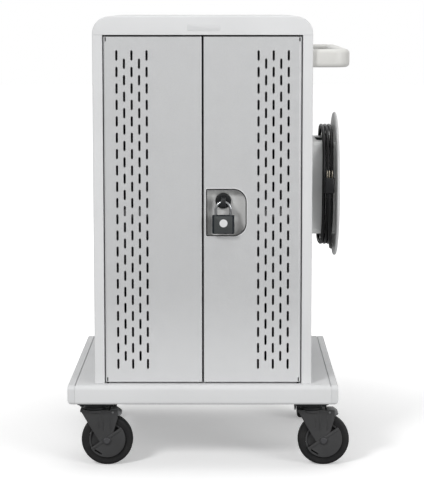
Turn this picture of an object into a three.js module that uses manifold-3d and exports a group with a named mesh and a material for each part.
// Laptop charging cart: a steel cabinet with two slotted doors, on a wheeled base, with a push handle
// and a cord winder on its right side. Millimetres, +Z up. The doors face -Y and the floor is z = 0.
import * as THREE from 'three';
import { mergeGeometries, mergeVertices } from 'three/addons/utils/BufferGeometryUtils.js';
import Module from 'manifold-3d';

const { Matrix4, Shape, Vector2, Vector3 } = THREE;
const wasm = await Module();
wasm.setup();

// Fits and sheet
const CLEARANCE = 0.3;          // gap between pieces that touch
const SHEET = 1.5;              // wall of the folded steel sheets
const FOLD = 2.5;               // outer radius of a folded corner
const REACH = 2;                // how far a cutting tool runs past the face that it cuts
const PIN_SEGMENTS = 8;         // facets round pins and axles
const BORE_SEGMENTS = 12;       // round spindles, bores and small turned pieces
const RACE_SEGMENTS = 16;       // round swivel races and the latch's eye
const KNOB_SEGMENTS = 24;       // round the latch's knob and rose
const FLANGE_SEGMENTS = 36;     // round the winder's flange

// Overall
const CART_HEIGHT = 1112;
const CABINET_WIDTH = 533;
const CABINET_DEPTH = 595;

// Base tray, its rails and side bumpers
const BASE_WIDTH = 664;
const BASE_DEPTH = 645;
const BASE_HEIGHT = 48;
const BASE_WALL = 3;
const BASE_LIP = 12;            // width of the tray's inward lip round its open bottom
const BASE_TOP_EDGE = 12;
const BASE_LOW_EDGE = 8;
const BUMPER_WIDTH = 17.5;
const BUMPER_TOP_EDGE = 5;
const BUMPER_LOW_EDGE = 12;
const GROOVE_WIDTH = 2.5;
const GROOVE_DEPTH = 3;
const RAIL_WIDTH = 100;
const RAIL_WALL = 2.5;

// Cabinet shell
const POST_FACE = 24.5;         // front flange of a side panel, beside the doors
const POST_RETURN = 15;
const REAR_FLANGE = 20;
const CAP_HEIGHT = 45;
const CAP_CORNER = 42;
const CAP_EDGE = 3;
const CAP_WALL = 3;

// Doors
const DOOR_DEPTH = 22;
const DOOR_END_GAP = 4.5;       // above and below a door
const DOOR_HINGE_GAP = 2.5;
const DOOR_CENTRE_GAP = 4.4;
const HINGE_ROLL = 6;           // radius of the rolled hinge edge, concentric with the pivot pins
const PIN_RADIUS = 2;
const PIN_LENGTH = 16;
const PIN_COLLAR_RADIUS = 3.4;
const NOTCH_WIDTH = 6.5;        // corner cut away in front of a pivot pin
const NOTCH_HEIGHT = 11;
const NOTCH_DEPTH = 2.5;

// Vent slots of a door: columns stand half a pitch apart in turn
const SLOT_LENGTH = 25.5;
const SLOT_WIDTH = 5.5;
const SLOT_PITCH = 39.8;
const SLOT_ROWS = 20;
const SLOT_COLUMNS = 5;
const SLOT_COLUMN_PITCH = 18.2;
const SLOT_COLUMN_INSET = 31.5; // first column's centre from the hinge edge
const SLOT_END_CHORDS = 3;
const REAR_SLOT_ROWS = 2;
const REAR_SLOT_COLUMNS = 5;
const REAR_VENT_INSET = 90;     // centre of a rear vent field from the panel's end

// Lock recess and latch in the right door
const RECESS_WIDTH = 101;
const RECESS_HEIGHT = 118.5;
const RECESS_EDGE_LAND = 4.7;   // door face left between the recess and the door's free edge
const RECESS_FREE_CORNER = 4;
const RECESS_HINGE_CORNER = 33;
const RECESS_DROP = 3.5;        // recess's centre under the door's
const PAN_DEPTH = 24;
const LATCH_FROM_RECESS_EDGE = 43;
const LATCH_ABOVE_RECESS_CENTRE = 27;
const ROSE_RADIUS = 16;
const ROSE_THICKNESS = 2;
const KNOB_RADIUS = 19.5;
const KNOB_THICKNESS = 6;
const SPINDLE_RADIUS = 6;
const EYE_THICKNESS = 12;
const EYE_RADIUS = 10.5;
const EYE_HOLE_RADIUS = 5.6;
const EYE_LIFT = 0.6;           // hole's centre above the hanging shackle's
const CAM_LENGTH = 66;
const CAM_WIDTH = 18;
const CAM_THICKNESS = 3;
const CAM_GAP = 1.5;            // behind the lock pan

// Padlock
const PADLOCK_WIDTH = 54;
const PADLOCK_HEIGHT = 44.5;
const PADLOCK_THICKNESS = 23;
const PADLOCK_CORNER = 8;       // of the case's upright edges
const PADLOCK_FROM_DOOR = 1.2;  // clear of the door's face
const SHACKLE_DIAMETER = 7;
const SHACKLE_SPAN = 36;        // between the legs' centres
const SHACKLE_RISE = 14;        // straight leg above the body
const SHACKLE_LONG_LEG = 30;    // inside the body
const SHACKLE_SHORT_LEG = 10;

// Inside
const DECK_LIP = 18;
const DECK_FRONT_GAP = 36;      // deck's front edge behind the cabinet's front face
const PARTITION_FROM_REAR = 180;
const RACK_BAYS = 10;
const RACK_PITCH = 45;
const RACK_HEIGHT = 230;
const RACK_DEPTH = 320;
const RACK_WALL = 2;
const RACK_FRONT_GAP = 60;
const STRIP_LENGTH = 420;
const STRIP_HEIGHT = 55;
const STRIP_DEPTH = 40;
const STRIP_ABOVE_DECK = 190;

// Push handle on the right side
const HANDLE_LENGTH = 560;
const HANDLE_REACH = 92;
const HANDLE_HEIGHT = 44;
const HANDLE_BELOW_TOP = 102;   // its middle under the cart's top
const GRIP_THICKNESS = 29;
const ARM_THICKNESS = 32;
const HANDLE_CORNER = 42;
const HANDLE_EDGE = 10;

// Cord winder on the right side
const CORE_SIZE = 235;
const CORE_DEPTH = 68;
const CORE_EDGE = 10;
const CORE_WALL = 3;
const CORE_SLOT_WIDTH = 22;
const CORE_SLOT_LENGTH = 110;
const CORE_BELOW_TOP = 435.5;   // its middle under the cart's top
const FLANGE_DIAMETER = 373;
const FLANGE_THICKNESS = 4;
const FLANGE_RIM = 7;           // thickness of the flange's rounded rim
const FLANGE_RIM_WIDTH = 6;

// Mains lead, its strain relief and its plug
const CORD_DIAMETER = 9.2;
const CORD_PITCH = 9.7;
const CORD_TURNS = 3;
const CORD_STEPS = 24;          // per turn
const CORD_SIDES = 6;
const CORD_ROUNDNESS = 2.9;     // 2 winds a circle, higher values a squarer loop
const CORD_FIRST_STRAND = 34.2; // strand's centre from the side panel where the winding starts
const CORD_LEAD_OFFSET = 0.8;   // lead's centre inside the first strand's, clear of the second
const CORD_BEND_STEPS = 3;      // of the bend from the strain relief into the bottom run
const CORD_TAIL = [             // from the winding to the plug: [x from the plug, y, z over the bottom run]
  [13.3, 15, -2.5], [12.1, -28, -8], [10, -75, -6], [6, -117, 14], [2.5, -144, 46], [0.6, -159.5, 84],
];
const RELIEF_LENGTH = 30;
const RELIEF_SLOPE = 35;        // degrees below level
const RELIEF_RADIUS = 10;
const RELIEF_TIP_RADIUS = 6.5;
const RELIEF_BEHIND = 85;       // its root behind the winder's centre
const PLUG_WIDTH = 25;
const PLUG_THICKNESS = 22;
const PLUG_LENGTH = 39;
const PLUG_CORNER = 5;
const PLUG_STRAND = 1.6;        // plug's middle, in strands from the first
const PLUG_DROP = 7.5;          // its body's lower end under the winder's centre
const PLUG_NECK_LENGTH = 12;
const PLUG_NECK_RADIUS = 7;
const BLADE_LENGTH = 18;
const BLADE_WIDTH = 6.4;
const BLADE_THICKNESS = 1.6;
const BLADE_SPACING = 12.7;
const BLADE_OFFSET = 4.5;       // blades in front of the plug's middle
const EARTH_PIN_RADIUS = 2.4;
const EARTH_PIN_SPACING = 11.9; // behind the blades

// Casters
const CASTER_HEIGHT = 164;      // floor to the base's underside
const WHEEL_DIAMETER = 128;
const CASTER_INSET_X = 63;      // swivel axis from the base's side
const CASTER_INSET_Y = 65;      // swivel axis from the base's front or rear
const FRONT_HEADING = 0;        // degrees that the casters are turned, 0 trails towards +X
const REAR_HEADING = -90;
const TRAIL = 30;
const PLATE_LENGTH = 95;
const PLATE_WIDTH = 82;
const PLATE_THICKNESS = 5;
const PLATE_CORNER = 8;
const RACE_RADIUS = 28;
const KINGPIN_RADIUS = 6;
const CROWN_TOP = 141;
const CROWN_THICKNESS = 6;
const LEG_THICKNESS = 3.5;
const LEG_FRONT = 66;           // leg's top, ahead of the wheel's centre
const LEG_REAR = 27;            // and behind it
const LEG_KNEE = [-48, 46];     // points of a leg's edges from the axle
const LEG_SHIN = [-30, 14];
const LEG_HEEL = [27, 56];
const LEG_NECK = 20;            // half width where the leg runs into the guard
const CROWN_REAR = 4;
const GUARD_RADIUS = 48;
const GUARD_SLOPE = 35;         // degrees, the guard's straight edge
const GUARD_RISE = 5;           // height of that edge over the axle
const AXLE_RADIUS = 4.1;
const AXLE_HEAD_RADIUS = 8;
const AXLE_HEAD = 4;
const AXLE_BOSS = 2;
const HUB_RADIUS = 11;
const HUB_HALF_WIDTH = 18.2;
const RIM_RADIUS = 45;
const RIM_HALF_WIDTH = 13;
const RIM_THICKNESS = 4;
const HUB_DRAFT = 1;            // how far the hub widens down to the web
const RIM_DRAFT = 3;            // and the rim narrows
const TYRE_BEAD = 14;           // half width where the tyre sits on the rim
const TYRE_SECTION = [[7, 15], [2.3, 12.5], [0, 7.5]]; // [depth under the tread, half width]
const WHEEL_SEGMENTS = 14;
const TYRE_SEGMENTS = 20;
const PEDAL_HALF_WIDTH = 16;
const PEDAL_PIVOT_RADIUS = 2.5;
const PEDAL_PIVOT = [15, 71];   // from the axle
const PEDAL_OUTLINE = [         // lever and brake shoe from the axle, [x, z, corner radius]
  [8, 69, 1], [20, 67, 1], [24, 61.2], [30, 60.2], [33, 66.5, 2], [47, 69, 3], [52, 73, 2], [50, 77, 2],
  [34, 75.5, 3], [8, 76, 1],
];

// Places worked out from the sizes above
const HALF_CABINET = CABINET_WIDTH / 2;
const FRONT = -CABINET_DEPTH / 2;
const REAR = CABINET_DEPTH / 2;
const BASE_TOP = CASTER_HEIGHT + BASE_HEIGHT;
const CAP_BOTTOM = CART_HEIGHT - CAP_HEIGHT;
const SHELL_LOW = BASE_TOP + CLEARANCE;
const SHELL_HIGH = CAP_BOTTOM - CLEARANCE;
const TRAY_HALF = BASE_WIDTH / 2 - BUMPER_WIDTH - CLEARANCE;
const CASTER_X = BASE_WIDTH / 2 - CASTER_INSET_X;
const CASTER_Y = BASE_DEPTH / 2 - CASTER_INSET_Y;
const DOOR_HINGE_X = HALF_CABINET - POST_FACE - DOOR_HINGE_GAP;
const DOOR_FREE_X = DOOR_CENTRE_GAP / 2;
const DOOR_LOW = BASE_TOP + DOOR_END_GAP;
const DOOR_HIGH = CAP_BOTTOM - DOOR_END_GAP;
const PIVOT_X = DOOR_HINGE_X - HINGE_ROLL;
const PIVOT_Y = FRONT + HINGE_ROLL;
const RECESS_X = DOOR_FREE_X + RECESS_EDGE_LAND;
const RECESS_CENTRE_Z = (DOOR_LOW + DOOR_HIGH) / 2 - RECESS_DROP;
const PAN_FLOOR = FRONT + PAN_DEPTH - SHEET;
const LATCH_X = RECESS_X + LATCH_FROM_RECESS_EDGE;
const LATCH_Z = RECESS_CENTRE_Z + LATCH_ABOVE_RECESS_CENTRE;
const SHACKLE_RADIUS = SHACKLE_DIAMETER / 2;
const PADLOCK_Y = FRONT - PADLOCK_FROM_DOOR - PADLOCK_THICKNESS / 2;
const PADLOCK_TOP = LATCH_Z - SHACKLE_SPAN / 2 - SHACKLE_RISE;
const PARTITION_Y = REAR - PARTITION_FROM_REAR;
const DECK_FRONT = FRONT + DECK_FRONT_GAP;
const DECK_CENTRE_Z = (BASE_TOP + CAP_BOTTOM) / 2;
const HANDLE_CENTRE_Z = CART_HEIGHT - HANDLE_BELOW_TOP;
const CORE_X = HALF_CABINET + CLEARANCE;
const FLANGE_X = CORE_X + CORE_DEPTH + CLEARANCE;
const CORE_CENTRE_Z = CART_HEIGHT - CORE_BELOW_TOP;
const CORE_LOW = CORE_CENTRE_Z - CORE_SIZE / 2;
const WHEEL_RADIUS = WHEEL_DIAMETER / 2;
const LEG_INSIDE = HUB_HALF_WIDTH + CLEARANCE;
const LEG_TOP = CROWN_TOP - WHEEL_RADIUS;

const radians = THREE.MathUtils.degToRad;

// Points of an arc, both ends included
function arc(cx, cy, radius, from, to, chords) {
  const points = [];
  for (let i = 0; i <= chords; i++) {
    const angle = from + (to - from) * i / chords;
    points.push(new Vector2(cx + radius * Math.cos(angle), cy + radius * Math.sin(angle)));
  }
  return points;
}

// Points of a closed outline whose corners [x, y, radius] are rounded, each by a few chords
function rounded(corners, chords = 3) {
  const points = [];
  corners.forEach(([x, y, radius = 0], i) => {
    const corner = new Vector2(x, y);
    if (radius <= 0) {
      points.push(corner);
      return;
    }
    const [beforeX, beforeY] = corners.at(i - 1);
    const [afterX, afterY] = corners[(i + 1) % corners.length];
    const back = new Vector2(beforeX - x, beforeY - y).normalize();
    const ahead = new Vector2(afterX - x, afterY - y).normalize();
    const half = Math.acos(back.dot(ahead)) / 2;
    const centre = back.clone().add(ahead).setLength(radius / Math.sin(half)).add(corner);
    const start = back.clone().setLength(radius / Math.tan(half)).add(corner).sub(centre).angle();
    const turn = (2 * half - Math.PI) * Math.sign(back.cross(ahead));
    points.push(...arc(centre.x, centre.y, radius, start, start + turn, chords));
  });
  return points;
}

// Points of a rectangle with one radius, or [low left, low right, high right, high left] radii
function rectangle(x0, y0, x1, y1, radius = 0, chords = 3) {
  const [a, b, c, d] = Array.isArray(radius) ? radius : [radius, radius, radius, radius];
  return rounded([[x0, y0, a], [x1, y0, b], [x1, y1, c], [x0, y1, d]], chords);
}

// Outline of a folded sheet: an open path of corners [x, y, radius], with the wall on its left
function foldedSheet(path, wall, chords = 3) {
  const leftOf = (a, b) => new Vector2(a[1] - b[1], b[0] - a[0]).normalize();
  const inner = path.map(([x, y, radius = 0], i) => {
    const before = leftOf(path[Math.max(i - 1, 0)], path[Math.max(i, 1)]);
    const after = leftOf(path[Math.min(i, path.length - 2)], path[Math.min(i + 1, path.length - 1)]);
    const reach = wall / (1 + before.dot(after));
    const turnsLeft = before.cross(after) > 0;
    return [
      x + (before.x + after.x) * reach,
      y + (before.y + after.y) * reach,
      radius ? Math.max(radius + (turnsLeft ? -wall : wall), 0) : 0,
    ];
  });
  return rounded([...path, ...inner.reverse()], chords);
}

// Prisms of an outline drawn in the plane across their length
function prismZ(points, z0, z1) {
  const geometry = new THREE.ExtrudeGeometry(new Shape(points), { depth: z1 - z0, bevelEnabled: false });
  return geometry.translate(0, 0, z0);
}

function prismY(points, y0, y1) {
  return prismZ(points, -y1, -y0).applyMatrix4(new Matrix4().makeRotationX(Math.PI / 2));
}

function prismX(points, x0, x1) {
  const turn = new Matrix4().makeBasis(new Vector3(0, 1, 0), new Vector3(0, 0, 1), new Vector3(1, 0, 0));
  return prismZ(points, x0, x1).applyMatrix4(turn);
}

function box(x0, y0, z0, x1, y1, z1) {
  return new THREE.BoxGeometry(x1 - x0, y1 - y0, z1 - z0)
    .translate((x0 + x1) / 2, (y0 + y1) / 2, (z0 + z1) / 2);
}

// A turned solid from a closed profile of [radius, height], counter-clockwise, about the +Z axis
function turned(profile, segments) {
  const points = [...profile, profile[0]].map(([radius, height]) => new Vector2(radius, height));
  return new THREE.LatheGeometry(points, segments)
    .rotateY(Math.PI / segments)
    .applyMatrix4(new Matrix4().makeRotationX(Math.PI / 2));
}

function disc(radius, z0, z1, segments) {
  return turned([[0, z0], [radius, z0], [radius, z1], [0, z1]], segments);
}

// The same, lying along X or Y
const alongX = (geometry) => geometry.applyMatrix4(new Matrix4().makeRotationY(Math.PI / 2));
const alongY = (geometry) => geometry.applyMatrix4(new Matrix4().makeRotationX(-Math.PI / 2));

// Joining and cutting
function solid(geometry) {
  const bare = geometry.clone();
  bare.deleteAttribute('normal');
  bare.deleteAttribute('uv');
  const merged = mergeVertices(bare, 1e-4);
  return new wasm.Manifold(new wasm.Mesh({
    numProp: 3,
    vertProperties: new Float32Array(merged.attributes.position.array),
    triVerts: new Uint32Array(merged.index.array),
  }));
}

function shaped(manifold) {
  const mesh = manifold.getMesh();
  const geometry = new THREE.BufferGeometry();
  geometry.setAttribute('position', new THREE.BufferAttribute(new Float32Array(mesh.vertProperties), 3));
  geometry.setIndex(new THREE.BufferAttribute(new Uint32Array(mesh.triVerts), 1));
  geometry.computeVertexNormals();
  return geometry;
}

function joined(...geometries) {
  return shaped(geometries.map(solid).reduce((whole, piece) => whole.add(piece)));
}

function cut(geometry, ...tools) {
  return shaped(tools.map(solid).reduce((whole, tool) => whole.subtract(tool), solid(geometry)));
}

function common(a, b) {
  return shaped(solid(a).intersect(solid(b)));
}

// Finishes
const finish = (color, roughness, metalness = 0) => ({ color, roughness, metalness });
const FRAME_PAINT = finish(0xdadbdc, 0.5);
const DOOR_PAINT = finish(0xc3c5c7, 0.45, 0.2);
const PAN_PAINT = finish(0x9fa2a5, 0.5);
const HANDLE_PLASTIC = finish(0xd4d1cb, 0.55);
const BUMPER_PLASTIC = finish(0xd2d3d4, 0.6);
const WINDER_PLASTIC = finish(0xa9abad, 0.55);
const BLACK_PLASTIC = finish(0x2b2c2e, 0.5);
const BLACK_RUBBER = finish(0x37383a, 0.8);
const WHEEL_PLASTIC = finish(0x4a4b4d, 0.55);
const PEDAL_PLASTIC = finish(0x8d8f91, 0.5);
const CORD_JACKET = finish(0x1d1e20, 0.6);
const STEEL = finish(0xb9bbbd, 0.3, 0.9);
const PADLOCK_CASE = finish(0x5b5d60, 0.4, 0.6);
const INNER_PAINT = finish(0xb4b6b8, 0.55);

const cart = new THREE.Group();

function part(name, geometry, look, parent = cart) {
  const mesh = new THREE.Mesh(geometry, new THREE.MeshStandardMaterial(look));
  mesh.name = name;
  parent.add(mesh);
  return mesh;
}

// Base: a steel pan with an inward lip, a bumper on each side and two rails that carry the casters
const basePlan = (inset) => [-BASE_DEPTH / 2 + inset, BASE_DEPTH / 2 - inset];

function baseSection(inset) {
  const [front, rear] = basePlan(inset);
  const low = Math.max(BASE_LOW_EDGE - inset, 0);
  const high = Math.max(BASE_TOP_EDGE - inset, 0);
  return rectangle(front, CASTER_HEIGHT + inset, rear, BASE_TOP - inset, [low, low, high, high], 4);
}

function baseTray() {
  const [lipFront, lipRear] = basePlan(BASE_LIP);
  const lipHalf = TRAY_HALF - BASE_LIP;
  const grooves = [-1, 1].map((side) => {
    const edges = [side * (TRAY_HALF - GROOVE_WIDTH), side * (TRAY_HALF + REACH)].sort((a, b) => a - b);
    return box(edges[0], -BASE_DEPTH, BASE_TOP - GROOVE_DEPTH, edges[1], BASE_DEPTH, BASE_TOP + REACH);
  });
  return cut(
    prismX(baseSection(0), -TRAY_HALF, TRAY_HALF),
    prismX(baseSection(BASE_WALL), -TRAY_HALF + BASE_WALL, TRAY_HALF - BASE_WALL),
    box(-lipHalf, lipFront, CASTER_HEIGHT - REACH, lipHalf, lipRear, CASTER_HEIGHT + BASE_WALL + REACH),
    ...grooves,
  );
}

function baseBumper(side) {
  const inner = side * (BASE_WIDTH / 2 - BUMPER_WIDTH);
  const outer = side * BASE_WIDTH / 2;
  const section = rounded([
    [inner, CASTER_HEIGHT],
    [outer, CASTER_HEIGHT, BUMPER_LOW_EDGE],
    [outer, BASE_TOP, BUMPER_TOP_EDGE],
    [inner, BASE_TOP],
  ], 4);
  return common(
    prismY(section, -BASE_DEPTH / 2, BASE_DEPTH / 2),
    prismX(baseSection(0), -BASE_WIDTH, BASE_WIDTH),
  );
}

function baseRail(y) {
  const high = BASE_TOP - BASE_WALL - CLEARANCE;
  const half = RAIL_WIDTH / 2;
  const end = TRAY_HALF - BASE_LIP - CLEARANCE;
  const section = foldedSheet([
    [y - half, high],
    [y - half, CASTER_HEIGHT, FOLD + RAIL_WALL],
    [y + half, CASTER_HEIGHT, FOLD + RAIL_WALL],
    [y + half, high],
  ], RAIL_WALL);
  return prismX(section, -end, end);
}

part('base_tray', baseTray(), FRAME_PAINT);
part('base_bumper_left', baseBumper(-1), BUMPER_PLASTIC);
part('base_bumper_right', baseBumper(1), BUMPER_PLASTIC);
part('base_rail_front', baseRail(-CASTER_Y), INNER_PAINT);
part('base_rail_rear', baseRail(CASTER_Y), INNER_PAINT);

// Cabinet shell: two folded side panels, a vented rear panel and a hollow top cap
function sidePanel(side) {
  const outer = HALF_CABINET;
  const path = [
    [-outer + REAR_FLANGE, REAR],
    [-outer, REAR, FOLD],
    [-outer, FRONT, FOLD],
    [-outer + POST_FACE, FRONT, FOLD],
    [-outer + POST_FACE, FRONT + POST_RETURN],
  ];
  const outline = foldedSheet(path, SHEET).map(({ x, y }) => new Vector2(-side * x, y));
  return prismZ(outline, SHELL_LOW, SHELL_HIGH);
}

// An upright slot, as a cutting tool across a sheet that faces along Y
function ventSlot(x, z, y0, y1) {
  const radius = SLOT_WIDTH / 2;
  const straight = SLOT_LENGTH / 2 - radius;
  return prismY([
    ...arc(x, z + straight, radius, 0, Math.PI, SLOT_END_CHORDS),
    ...arc(x, z - straight, radius, Math.PI, 2 * Math.PI, SLOT_END_CHORDS),
  ], y0, y1);
}

// A field of slots centred on z, whose odd columns have one slot less
function ventField(columnX, columns, rows, z, y0, y1) {
  const slots = [];
  for (let column = 0; column < columns; column++) {
    const count = rows - column % 2;
    for (let row = 0; row < count; row++) {
      slots.push(ventSlot(columnX(column), z + (row - (count - 1) / 2) * SLOT_PITCH, y0, y1));
    }
  }
  return mergeGeometries(slots);
}

function rearPanel() {
  const half = HALF_CABINET - REAR_FLANGE - CLEARANCE;
  const columnX = (column) => (column - (REAR_SLOT_COLUMNS - 1) / 2) * SLOT_COLUMN_PITCH;
  const through = [REAR - SHEET - REACH, REAR + REACH];
  const field = (z) => ventField(columnX, REAR_SLOT_COLUMNS, REAR_SLOT_ROWS, z, ...through);
  return cut(
    box(-half, REAR - SHEET, SHELL_LOW, half, REAR, SHELL_HIGH),
    field(SHELL_LOW + REAR_VENT_INSET),
    field(SHELL_HIGH - REAR_VENT_INSET),
  );
}

function topCap() {
  const below = CAP_BOTTOM - CAP_EDGE - REACH;
  const corners = (radius) => [0, 0, radius, radius];
  const outline = rectangle(-HALF_CABINET, below, HALF_CABINET, CART_HEIGHT, corners(CAP_CORNER), 6);
  const outer = new THREE.ExtrudeGeometry(new Shape(outline), {
    depth: CABINET_DEPTH - 2 * CAP_EDGE,
    bevelThickness: CAP_EDGE,
    bevelSize: CAP_EDGE,
    bevelOffset: -CAP_EDGE,
    bevelSegments: 2,
  }).applyMatrix4(new Matrix4().makeRotationX(Math.PI / 2)).translate(0, REAR - CAP_EDGE, 0);
  const half = HALF_CABINET - CAP_WALL;
  const inside = rectangle(-half, below, half, CART_HEIGHT - CAP_WALL, corners(CAP_CORNER - CAP_WALL), 6);
  return cut(
    outer,
    box(-CABINET_WIDTH, -CABINET_DEPTH, below - REACH, CABINET_WIDTH, CABINET_DEPTH, CAP_BOTTOM),
    prismY(inside, FRONT + CAP_WALL, REAR - CAP_WALL),
  );
}

part('side_panel_left', sidePanel(-1), FRAME_PAINT);
part('side_panel_right', sidePanel(1), FRAME_PAINT);
part('rear_panel', rearPanel(), FRAME_PAINT);
part('top_cap', topCap(), FRAME_PAINT);

// Inside: a middle deck, a partition before the charging bay, two divider racks and two power strips
const insideHalf = HALF_CABINET - SHEET - CLEARANCE;

function deck() {
  const rear = PARTITION_Y - CLEARANCE;
  const section = foldedSheet([
    [rear, DECK_CENTRE_Z - DECK_LIP],
    [rear, DECK_CENTRE_Z, FOLD],
    [DECK_FRONT, DECK_CENTRE_Z, FOLD],
    [DECK_FRONT, DECK_CENTRE_Z - DECK_LIP],
  ], SHEET);
  return prismX(section, -insideHalf, insideHalf);
}

function rack(floor) {
  const start = -RACK_BAYS * RACK_PITCH / 2;
  const high = floor + RACK_HEIGHT;
  const web = RACK_WALL / 2;
  const outline = [];
  for (let i = RACK_BAYS; i >= 0; i--) {
    const x = start + i * RACK_PITCH;
    if (i < RACK_BAYS) {
      outline.push(new Vector2(x + web, floor + RACK_WALL));
    }
    outline.push(new Vector2(x + web, high), new Vector2(x - web, high));
    if (i > 0) {
      outline.push(new Vector2(x - web, floor + RACK_WALL));
    }
  }
  outline.push(new Vector2(start - web, floor), new Vector2(-start + web, floor));
  return prismY(outline, FRONT + RACK_FRONT_GAP, FRONT + RACK_FRONT_GAP + RACK_DEPTH);
}

function powerStrip(z) {
  const y = PARTITION_Y + SHEET + CLEARANCE;
  const section = rectangle(y, z - STRIP_HEIGHT / 2, y + STRIP_DEPTH, z + STRIP_HEIGHT / 2, FOLD);
  return prismX(section, -STRIP_LENGTH / 2, STRIP_LENGTH / 2);
}

part('middle_deck', deck(), INNER_PAINT);
part('rear_partition',
  box(-insideHalf, PARTITION_Y, SHELL_LOW, insideHalf, PARTITION_Y + SHEET, SHELL_HIGH), INNER_PAINT);
part('divider_rack_lower', rack(SHELL_LOW), INNER_PAINT);
part('divider_rack_upper', rack(DECK_CENTRE_Z + CLEARANCE), INNER_PAINT);
part('power_strip_lower', powerStrip(BASE_TOP + STRIP_ABOVE_DECK), BLACK_PLASTIC);
part('power_strip_upper', powerStrip(DECK_CENTRE_Z + STRIP_ABOVE_DECK), BLACK_PLASTIC);

// Doors: folded steel pans with a rolled hinge edge, end flanges and rows of vent slots
function recessOutline(inset) {
  const low = RECESS_CENTRE_Z - RECESS_HEIGHT / 2 + inset;
  const high = RECESS_CENTRE_Z + RECESS_HEIGHT / 2 - inset;
  const free = Math.max(RECESS_FREE_CORNER - inset, 0);
  const hinge = RECESS_HINGE_CORNER - inset;
  const corners = [free, hinge, hinge, free];
  return rectangle(RECESS_X + inset, low, RECESS_X + RECESS_WIDTH - inset, high, corners, 5);
}

function door(side) {
  const deep = FRONT + DOOR_DEPTH;
  const plan = [
    [-DOOR_HINGE_X, deep],
    [-DOOR_HINGE_X, FRONT, HINGE_ROLL],
    [-DOOR_FREE_X, FRONT, FOLD],
    [-DOOR_FREE_X, deep],
  ];
  const facing = (points) => points.map(({ x, y }) => new Vector2(-side * x, y));
  const flange = facing(rounded(plan, 4));
  const pan = joined(
    prismZ(facing(foldedSheet(plan, SHEET, 4)), DOOR_LOW, DOOR_HIGH),
    prismZ(flange, DOOR_LOW, DOOR_LOW + SHEET),
    prismZ(flange, DOOR_HIGH - SHEET, DOOR_HIGH),
  );
  const columnX = (column) => side * (DOOR_HINGE_X - SLOT_COLUMN_INSET - column * SLOT_COLUMN_PITCH);
  const through = [FRONT - REACH, FRONT + SHEET + REACH];
  const tools = [
    ventField(columnX, SLOT_COLUMNS, SLOT_ROWS, (DOOR_LOW + DOOR_HIGH) / 2, ...through),
    disc(PIN_RADIUS + CLEARANCE, DOOR_LOW - REACH, DOOR_HIGH + REACH, PIN_SEGMENTS)
      .translate(side * PIVOT_X, PIVOT_Y, 0),
  ];
  const notch = [side * (DOOR_HINGE_X - NOTCH_WIDTH), side * (DOOR_HINGE_X + REACH)].sort((a, b) => a - b);
  for (const [low, high] of [
    [DOOR_LOW - REACH, DOOR_LOW + NOTCH_HEIGHT],
    [DOOR_HIGH - NOTCH_HEIGHT, DOOR_HIGH + REACH],
  ]) {
    tools.push(box(notch[0], FRONT - REACH, low, notch[1], FRONT + NOTCH_DEPTH, high));
  }
  if (side > 0) {
    tools.push(prismY(recessOutline(0), ...through));
  }
  return cut(pan, ...tools);
}

// A pivot pin stands on the base or hangs from the cap, with a collar that carries the door's flange
function hingePin(root, direction) {
  const collar = root + direction * (DOOR_END_GAP - 2 * CLEARANCE);
  const end = root + direction * PIN_LENGTH;
  const profile = [[0, root], [PIN_COLLAR_RADIUS, root], [PIN_COLLAR_RADIUS, collar], [PIN_RADIUS, collar],
    [PIN_RADIUS, end], [0, end]];
  return turned(direction > 0 ? profile : profile.reverse(), PIN_SEGMENTS);
}

for (const [word, side] of [['left', -1], ['right', 1]]) {
  part(`door_${word}`, door(side), DOOR_PAINT);
  const low = hingePin(BASE_TOP + CLEARANCE, 1).translate(side * PIVOT_X, PIVOT_Y, 0);
  const high = hingePin(CAP_BOTTOM - CLEARANCE, -1).translate(side * PIVOT_X, PIVOT_Y, 0);
  part(`hinge_pin_${word}_lower`, low, BLACK_PLASTIC);
  part(`hinge_pin_${word}_upper`, high, BLACK_PLASTIC);
}

// Latch: a pan sunk in the right door, a turning knob with a padlock eye, and a cam behind the pan
function lockPan() {
  const back = FRONT + PAN_DEPTH;
  return cut(
    prismY(recessOutline(CLEARANCE), FRONT, back),
    prismY(recessOutline(CLEARANCE + SHEET), FRONT - REACH, PAN_FLOOR),
    latchDisc(SPINDLE_RADIUS + CLEARANCE, PAN_FLOOR - REACH, back + REACH, BORE_SEGMENTS),
  );
}

// A round piece on the latch's axis, between two places along Y
function latchDisc(radius, y0, y1, segments) {
  return alongY(disc(radius, y0, y1, segments)).translate(LATCH_X, 0, LATCH_Z);
}

const roseFront = PAN_FLOOR - CLEARANCE - ROSE_THICKNESS;
const knobBack = roseFront - CLEARANCE;
const camFront = FRONT + PAN_DEPTH + CAM_GAP;

function latchKnob() {
  const knobFront = knobBack - KNOB_THICKNESS;
  const eyeFront = PADLOCK_Y - EYE_RADIUS;
  const eyeZ = LATCH_Z + EYE_LIFT;
  const fin = prismX(rounded([
    [eyeFront, eyeZ - EYE_RADIUS, EYE_RADIUS],
    [knobBack - KNOB_THICKNESS / 2, eyeZ - EYE_RADIUS],
    [knobBack - KNOB_THICKNESS / 2, eyeZ + EYE_RADIUS],
    [eyeFront, eyeZ + EYE_RADIUS, EYE_RADIUS],
  ], 5), LATCH_X - EYE_THICKNESS / 2, LATCH_X + EYE_THICKNESS / 2);
  const across = [LATCH_X - EYE_THICKNESS, LATCH_X + EYE_THICKNESS];
  const hole = alongX(disc(EYE_HOLE_RADIUS, ...across, RACE_SEGMENTS));
  const spindleEnd = camFront + CAM_THICKNESS + REACH;
  return cut(
    joined(
      latchDisc(KNOB_RADIUS, knobFront, knobBack, KNOB_SEGMENTS),
      latchDisc(SPINDLE_RADIUS, knobBack - KNOB_THICKNESS / 2, spindleEnd, BORE_SEGMENTS),
      fin,
    ),
    hole.translate(0, PADLOCK_Y, eyeZ),
  );
}

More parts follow.
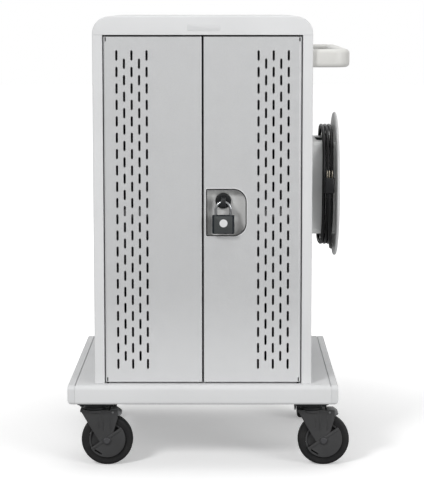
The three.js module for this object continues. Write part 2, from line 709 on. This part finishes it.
function latchCam() {
  const half = CAM_WIDTH / 2;
  const back = camFront + CAM_THICKNESS;
  const outline = rectangle(LATCH_X - half, LATCH_Z - half, LATCH_X + half, LATCH_Z + CAM_LENGTH, half);
  return cut(
    prismY(outline, camFront, back),
    latchDisc(SPINDLE_RADIUS + CLEARANCE, camFront - REACH, back + REACH, BORE_SEGMENTS),
  );
}

part('lock_pan', lockPan(), PAN_PAINT);
part('latch_rose', cut(
  latchDisc(ROSE_RADIUS, roseFront, PAN_FLOOR - CLEARANCE, KNOB_SEGMENTS),
  latchDisc(SPINDLE_RADIUS + CLEARANCE, roseFront - REACH, PAN_FLOOR + REACH, BORE_SEGMENTS),
), STEEL);
part('latch_knob', latchKnob(), BLACK_PLASTIC);
part('latch_cam', latchCam(), STEEL);

// Padlock: a case bored for both legs, and a bent round bar with a long and a short leg
const shackleArchZ = LATCH_Z - SHACKLE_SPAN / 2;
const legX = (side) => LATCH_X + side * SHACKLE_SPAN / 2;

function padlockBody() {
  const [halfX, halfY] = [PADLOCK_WIDTH / 2, PADLOCK_THICKNESS / 2];
  const plan = rectangle(LATCH_X - halfX, PADLOCK_Y - halfY, LATCH_X + halfX, PADLOCK_Y + halfY,
    PADLOCK_CORNER, 4);
  const bore = (side, deep) =>
    disc(SHACKLE_RADIUS + CLEARANCE, PADLOCK_TOP - deep, PADLOCK_TOP + REACH, BORE_SEGMENTS)
      .translate(legX(side), PADLOCK_Y, 0);
  return cut(
    prismZ(plan, PADLOCK_TOP - PADLOCK_HEIGHT, PADLOCK_TOP),
    bore(-1, SHACKLE_SHORT_LEG + REACH),
    bore(1, SHACKLE_LONG_LEG + REACH),
  );
}

function padlockShackle() {
  const at = ({ x, y }) => new Vector3(x, PADLOCK_Y, y);
  const bend = arc(LATCH_X, shackleArchZ, SHACKLE_SPAN / 2, Math.PI, 0, 12).map(at);
  const start = new Vector3(legX(-1), PADLOCK_Y, PADLOCK_TOP - SHACKLE_SHORT_LEG);
  const end = new Vector3(legX(1), PADLOCK_Y, PADLOCK_TOP - SHACKLE_LONG_LEG);
  return sweptTube([start, ...bend, end], SHACKLE_RADIUS, PIN_SEGMENTS);
}

// A closed tube along points, its section carried from point to point without twisting
function sweptTube(points, radius, sides) {
  const count = points.length;
  const heading = points.map((_, i) => {
    const from = points[Math.max(i - 1, 0)];
    const to = points[Math.min(i + 1, count - 1)];
    return to.clone().sub(from).normalize();
  });
  let across = new Vector3(heading[0].y, heading[0].z, heading[0].x).cross(heading[0]).normalize();
  const positions = [];
  points.forEach((point, i) => {
    across = across.clone().projectOnPlane(heading[i]).normalize();
    const up = heading[i].clone().cross(across);
    for (let k = 0; k < sides; k++) {
      const angle = 2 * Math.PI * k / sides;
      const rim = point.clone()
        .addScaledVector(across, radius * Math.cos(angle))
        .addScaledVector(up, radius * Math.sin(angle));
      positions.push(...rim.toArray());
    }
  });
  const index = [];
  for (let i = 0; i + 1 < count; i++) {
    for (let k = 0; k < sides; k++) {
      const a = i * sides + k;
      const b = i * sides + (k + 1) % sides;
      index.push(a, b, b + sides, a, b + sides, a + sides);
    }
  }
  const last = (count - 1) * sides;
  for (let k = 1; k + 1 < sides; k++) {
    index.push(0, k + 1, k, last, last + k, last + k + 1);
  }
  const geometry = new THREE.BufferGeometry();
  geometry.setAttribute('position', new THREE.Float32BufferAttribute(positions, 3));
  geometry.setIndex(index);
  geometry.computeVertexNormals();
  return geometry;
}

part('padlock_body', padlockBody(), PADLOCK_CASE);
part('padlock_shackle', padlockShackle(), STEEL);

// Push handle: a loop in plan with rounded edges, cut flush where its arms meet the side panel
function pushHandle() {
  const wall = HALF_CABINET + CLEARANCE;
  const root = wall - HANDLE_EDGE - REACH;
  const out = HALF_CABINET + HANDLE_REACH;
  const half = HANDLE_LENGTH / 2;
  const inner = Math.max(HANDLE_CORNER - GRIP_THICKNESS, HANDLE_EDGE);
  const outline = rounded([
    [root, -half],
    [out, -half, HANDLE_CORNER],
    [out, half, HANDLE_CORNER],
    [root, half],
    [root, half - ARM_THICKNESS],
    [out - GRIP_THICKNESS, half - ARM_THICKNESS, inner],
    [out - GRIP_THICKNESS, -half + ARM_THICKNESS, inner],
    [root, -half + ARM_THICKNESS],
  ], 5);
  const loop = new THREE.ExtrudeGeometry(new Shape(outline), {
    depth: HANDLE_HEIGHT - 2 * HANDLE_EDGE,
    bevelThickness: HANDLE_EDGE,
    bevelSize: HANDLE_EDGE,
    bevelOffset: -HANDLE_EDGE,
    bevelSegments: 3,
  }).translate(0, 0, HANDLE_CENTRE_Z - HANDLE_HEIGHT / 2 + HANDLE_EDGE);
  const low = HANDLE_CENTRE_Z - HANDLE_HEIGHT;
  const high = HANDLE_CENTRE_Z + HANDLE_HEIGHT;
  return cut(loop, box(root - HANDLE_EDGE - REACH, -half - REACH, low, wall, half + REACH, high));
}

part('push_handle', pushHandle(), HANDLE_PLASTIC);

// Cord winder: a hollow core with a plug slot in its top, and a round flange
function winderCore() {
  const half = CORE_SIZE / 2;
  const outline = (inset) => rectangle(-half + inset, CORE_LOW + inset, half - inset,
    CORE_LOW + CORE_SIZE - inset, CORE_EDGE - inset, 4);
  const slotX = CORE_X + CORE_DEPTH / 2;
  const slot = rectangle(slotX - CORE_SLOT_WIDTH / 2, -CORE_SLOT_LENGTH / 2,
    slotX + CORE_SLOT_WIDTH / 2, CORE_SLOT_LENGTH / 2, CORE_SLOT_WIDTH / 2);
  const top = CORE_LOW + CORE_SIZE;
  return cut(
    prismX(outline(0), CORE_X, CORE_X + CORE_DEPTH),
    prismX(outline(CORE_WALL), CORE_X - REACH, CORE_X + CORE_DEPTH - CORE_WALL),
    prismZ(slot, top - CORE_WALL - REACH, top + REACH),
  );
}

function winderFlange() {
  const radius = FLANGE_DIAMETER / 2;
  const round = FLANGE_RIM / 2;
  const profile = [
    [0, 0],
    [radius - round, 0],
    [radius, round],
    [radius - round, FLANGE_RIM],
    [radius - round - FLANGE_RIM_WIDTH, FLANGE_RIM],
    [radius - 2 * FLANGE_RIM_WIDTH, FLANGE_THICKNESS],
    [0, FLANGE_THICKNESS],
  ];
  return alongX(turned(profile, FLANGE_SEGMENTS)).translate(FLANGE_X, 0, CORE_CENTRE_Z);
}

part('winder_core', winderCore(), WINDER_PLASTIC);
part('winder_flange', winderFlange(), WINDER_PLASTIC);

// Mains lead: out of the strain relief under the core, three turns round it and up to the plug in front
const cordRadius = CORD_DIAMETER / 2;
const cornerReach = (CORE_SIZE / 2 - CORE_EDGE) * Math.SQRT2 + CORE_EDGE + CLEARANCE + cordRadius;
const loopHalf = cornerReach * Math.SQRT1_2 * 2 ** (1 / CORD_ROUNDNESS);
const cordStartX = HALF_CABINET + CORD_FIRST_STRAND;
const reliefHeading = new Vector3(0, -Math.cos(radians(RELIEF_SLOPE)), -Math.sin(radians(RELIEF_SLOPE)));
const reliefX = cordStartX - CORD_LEAD_OFFSET;
const reliefRoot = new Vector3(reliefX, RELIEF_BEHIND, CORE_LOW);

// A place on the winding: 0 turns at the middle of the bottom run, a quarter at the front
function onWinding(turns, half, x) {
  const angle = 2 * Math.PI * turns;
  const power = (value) => Math.sign(value) * Math.abs(value) ** (2 / CORD_ROUNDNESS);
  return new Vector3(x, -half * power(Math.sin(angle)), CORE_CENTRE_Z - half * power(Math.cos(angle)));
}

const plugX = cordStartX + CORD_PITCH * PLUG_STRAND;
const plugY = -loopHalf - cordRadius - PLUG_THICKNESS / 2 - CLEARANCE;
const plugLow = CORE_CENTRE_Z - PLUG_DROP;
const cordEnd = new Vector3(plugX, plugY, plugLow - PLUG_NECK_LENGTH - CLEARANCE);

function cordRoute() {
  const start = reliefRoot.clone().addScaledVector(reliefHeading, RELIEF_LENGTH + CLEARANCE);
  const straight = start.clone().addScaledVector(reliefHeading, CORD_DIAMETER);
  const bottom = CORE_CENTRE_Z - loopHalf;
  const slope = radians(RELIEF_SLOPE);
  const bend = (straight.z - bottom) / (1 - Math.cos(slope));
  const route = [start, straight];
  for (let i = 1; i <= CORD_BEND_STEPS; i++) {
    const left = slope * (1 - i / CORD_BEND_STEPS);
    const y = straight.y - bend * (Math.sin(slope) - Math.sin(left));
    route.push(new Vector3(reliefX, y, bottom + bend * (1 - Math.cos(left))));
  }
  const steps = CORD_TURNS * CORD_STEPS;
  for (let i = 1; i < steps; i++) {
    const turns = i / CORD_STEPS;
    route.push(onWinding(turns, loopHalf, cordStartX + CORD_PITCH * turns));
  }
  route.push(
    ...CORD_TAIL.map(([x, y, z]) => new Vector3(plugX + x, y, bottom + z)),
    cordEnd.clone().setZ(cordEnd.z - CORD_DIAMETER),
    cordEnd,
  );
  return route;
}

// The route's length, and the least gap between stretches that lie a few diameters apart along it
function measureCord(route) {
  const spacing = CORD_DIAMETER / 3;
  const places = [];
  let length = 0;
  route.slice(1).forEach((to, i) => {
    const from = route[i];
    const run = from.distanceTo(to);
    for (let s = 0; s < run; s += spacing) {
      places.push({ point: from.clone().lerp(to, s / run), at: length + s });
    }
    length += run;
  });
  let least = Infinity;
  for (const a of places) {
    for (const b of places) {
      if (b.at - a.at > 4 * CORD_DIAMETER) {
        least = Math.min(least, a.point.distanceTo(b.point) - CORD_DIAMETER);
      }
    }
  }
  return { length, least };
}

function strainRelief() {
  const turn = new THREE.Quaternion().setFromUnitVectors(new Vector3(0, 0, 1), reliefHeading);
  const profile = [[0, -RELIEF_RADIUS], [RELIEF_RADIUS, -RELIEF_RADIUS], [RELIEF_RADIUS, RELIEF_LENGTH / 4],
    [RELIEF_TIP_RADIUS, RELIEF_LENGTH], [0, RELIEF_LENGTH]];
  const cone = turned(profile, BORE_SEGMENTS).applyQuaternion(turn).translate(...reliefRoot.toArray());
  const ceiling = CORE_LOW - CLEARANCE;
  const near = 4 * RELIEF_RADIUS;
  return cut(cone, box(
    reliefX - near, RELIEF_BEHIND - near, ceiling,
    reliefX + near, RELIEF_BEHIND + near, ceiling + near,
  ));
}

function powerPlug() {
  const high = plugLow + PLUG_LENGTH;
  const halfWidth = PLUG_WIDTH / 2;
  const halfThickness = PLUG_THICKNESS / 2;
  const outline = rectangle(plugX - halfWidth, plugY - halfThickness,
    plugX + halfWidth, plugY + halfThickness, PLUG_CORNER);
  const bladeY = plugY - BLADE_OFFSET;
  const blade = (x) => box(x - BLADE_THICKNESS / 2, bladeY - BLADE_WIDTH / 2, high - REACH,
    x + BLADE_THICKNESS / 2, bladeY + BLADE_WIDTH / 2, high + BLADE_LENGTH);
  return joined(
    prismZ(outline, plugLow, high),
    disc(PLUG_NECK_RADIUS, plugLow - PLUG_NECK_LENGTH, plugLow + REACH, BORE_SEGMENTS)
      .translate(plugX, plugY, 0),
    blade(plugX - BLADE_SPACING / 2),
    blade(plugX + BLADE_SPACING / 2),
    disc(EARTH_PIN_RADIUS, high - REACH, high + BLADE_LENGTH, PIN_SEGMENTS)
      .translate(plugX, bladeY + EARTH_PIN_SPACING, 0),
  );
}

const route = cordRoute();
const { length, least } = measureCord(route);
console.log(`power_cord: ${(length / 1000).toFixed(2)} m long, least gap to itself ${least.toFixed(2)} mm`);
part('cord_gland', strainRelief(), BLACK_PLASTIC);
part('power_cord', sweptTube(route, cordRadius, CORD_SIDES), CORD_JACKET);
part('power_plug', powerPlug(), BLACK_PLASTIC);

// Casters, each modelled about its swivel axis with the wheel trailing towards +X
const aboutWheel = (geometry) => geometry.translate(TRAIL, 0, WHEEL_RADIUS);
const legOutside = LEG_INSIDE + LEG_THICKNESS;

function casterPlate() {
  const high = CASTER_HEIGHT - CLEARANCE;
  const low = high - PLATE_THICKNESS;
  const [halfX, halfY] = [PLATE_WIDTH / 2, PLATE_LENGTH / 2];
  const outline = rectangle(-halfX, -halfY, halfX, halfY, PLATE_CORNER);
  const race = CROWN_TOP + CLEARANCE;
  const pinLow = CROWN_TOP - CROWN_THICKNESS;
  const swivel = turned([[0, pinLow], [KINGPIN_RADIUS, pinLow], [KINGPIN_RADIUS, race], [RACE_RADIUS, race],
    [RACE_RADIUS, low + REACH], [0, low + REACH]], RACE_SEGMENTS);
  return joined(prismZ(outline, low, high), swivel);
}

// A leg with its wheel guard, seen along the axle, with the axle at the origin
function legOutline() {
  const slope = radians(GUARD_SLOPE);
  const edge = (s) => new Vector2(s * Math.cos(slope), GUARD_RISE + s * Math.sin(slope));
  const middle = -GUARD_RISE * Math.sin(slope);
  const reach = Math.sqrt(GUARD_RADIUS ** 2 - (GUARD_RISE * Math.cos(slope)) ** 2);
  const from = edge(middle - reach).angle();
  const to = edge(middle + reach).angle() + 2 * Math.PI;
  return [
    new Vector2(-LEG_FRONT, LEG_TOP),
    new Vector2(...LEG_KNEE),
    new Vector2(...LEG_SHIN),
    edge(-LEG_NECK),
    ...arc(0, 0, GUARD_RADIUS, from, to, 10),
    edge(LEG_NECK),
    new Vector2(...LEG_HEEL),
    new Vector2(LEG_REAR, LEG_TOP),
  ];
}

function casterFork() {
  const outline = legOutline();
  const low = CROWN_TOP - CROWN_THICKNESS;
  const crown = rectangle(TRAIL - LEG_FRONT, -legOutside, TRAIL + CROWN_REAR, legOutside, LEG_THICKNESS);
  const legs = [-1, 1].flatMap((side) => {
    const [y0, y1] = [side * LEG_INSIDE, side * legOutside].sort((a, b) => a - b);
    const boss = [side * LEG_INSIDE, side * (legOutside + AXLE_BOSS)].sort((a, b) => a - b);
    const bossDisc = alongY(disc(HUB_RADIUS, ...boss, BORE_SEGMENTS));
    return [aboutWheel(prismY(outline, y0, y1)), aboutWheel(bossDisc)];
  });
  const across = [-2 * legOutside, 2 * legOutside];
  const [pivotX, pivotZ] = PEDAL_PIVOT;
  return cut(
    joined(prismZ(crown, low, CROWN_TOP), disc(RACE_RADIUS, low, CROWN_TOP, RACE_SEGMENTS), ...legs),
    disc(KINGPIN_RADIUS + CLEARANCE, low - REACH, CROWN_TOP + REACH, BORE_SEGMENTS),
    aboutWheel(alongY(disc(AXLE_RADIUS + CLEARANCE, ...across, PIN_SEGMENTS))),
    aboutWheel(alongY(disc(PEDAL_PIVOT_RADIUS + CLEARANCE, ...across, PIN_SEGMENTS))
      .translate(pivotX, 0, pivotZ)),
  );
}

function casterAxle() {
  const seat = legOutside + AXLE_BOSS + CLEARANCE;
  const end = seat + AXLE_HEAD;
  const half = [[AXLE_RADIUS, seat], [AXLE_HEAD_RADIUS, seat], [AXLE_HEAD_RADIUS, end], [0, end]];
  const profile = [...half.toReversed().map(([radius, y]) => [radius, -y]), ...half];
  return aboutWheel(alongY(turned(profile, PIN_SEGMENTS)));
}

function wheelHub() {
  const bore = AXLE_RADIUS + CLEARANCE;
  const web = RIM_HALF_WIDTH / 2;
  const rim = RIM_RADIUS - RIM_THICKNESS;
  const half = [[bore, HUB_HALF_WIDTH], [HUB_RADIUS, HUB_HALF_WIDTH], [HUB_RADIUS + HUB_DRAFT, web],
    [rim - RIM_DRAFT, web], [rim, RIM_HALF_WIDTH], [RIM_RADIUS, RIM_HALF_WIDTH]];
  const profile = [...half.map(([radius, y]) => [radius, -y]), ...half.toReversed()];
  return aboutWheel(alongY(turned(profile, WHEEL_SEGMENTS)));
}

// The tyre's facets touch the wheel's true radius at their middles, so that one lies flat on the floor
function wheelTyre() {
  const grow = 1 / Math.cos(Math.PI / TYRE_SEGMENTS);
  const half = [[RIM_RADIUS + CLEARANCE, TYRE_BEAD],
    ...TYRE_SECTION.map(([depth, y]) => [WHEEL_RADIUS - depth, y])];
  const grown = half.map(([radius, y]) => [radius * grow, y]);
  const profile = [...grown.map(([radius, y]) => [radius, -y]), ...grown.toReversed()];
  return aboutWheel(alongY(turned(profile, TYRE_SEGMENTS)));
}

function brakePedal() {
  const [pivotX, pivotZ] = PEDAL_PIVOT;
  const lever = rounded(PEDAL_OUTLINE, 3);
  const trunnion = alongY(disc(PEDAL_PIVOT_RADIUS, -legOutside, legOutside, PIN_SEGMENTS));
  return aboutWheel(joined(
    prismY(lever, -PEDAL_HALF_WIDTH, PEDAL_HALF_WIDTH),
    trunnion.translate(pivotX, 0, pivotZ),
  ));
}

function addCaster(word, x, y, heading, braked) {
  const place = new THREE.Group();
  place.position.set(x, y, 0);
  const swivel = new THREE.Group();
  swivel.rotation.z = radians(heading);
  place.add(swivel);
  cart.add(place);
  part(`caster_plate_${word}`, casterPlate(), BLACK_PLASTIC, place);
  part(`caster_fork_${word}`, casterFork(), WHEEL_PLASTIC, swivel);
  part(`caster_axle_${word}`, casterAxle(), STEEL, swivel);
  part(`wheel_hub_${word}`, wheelHub(), WHEEL_PLASTIC, swivel);
  part(`wheel_tyre_${word}`, wheelTyre(), BLACK_RUBBER, swivel);
  if (braked) {
    part(`brake_pedal_${word}`, brakePedal(), PEDAL_PLASTIC, swivel);
  }
}

addCaster('front_left', -CASTER_X, -CASTER_Y, FRONT_HEADING, true);
addCaster('front_right', CASTER_X, -CASTER_Y, FRONT_HEADING, true);
addCaster('rear_left', -CASTER_X, CASTER_Y, REAR_HEADING, false);
addCaster('rear_right', CASTER_X, CASTER_Y, REAR_HEADING, false);

// The origin is on the floor under the middle of the cart's box, which the front right wheel widens
const rightReach = Math.max(BASE_WIDTH / 2, CASTER_X + TRAIL + WHEEL_RADIUS, HALF_CABINET + HANDLE_REACH,
  FLANGE_X + FLANGE_RIM);
cart.position.x = (BASE_WIDTH / 2 - rightReach) / 2;

export default cart;
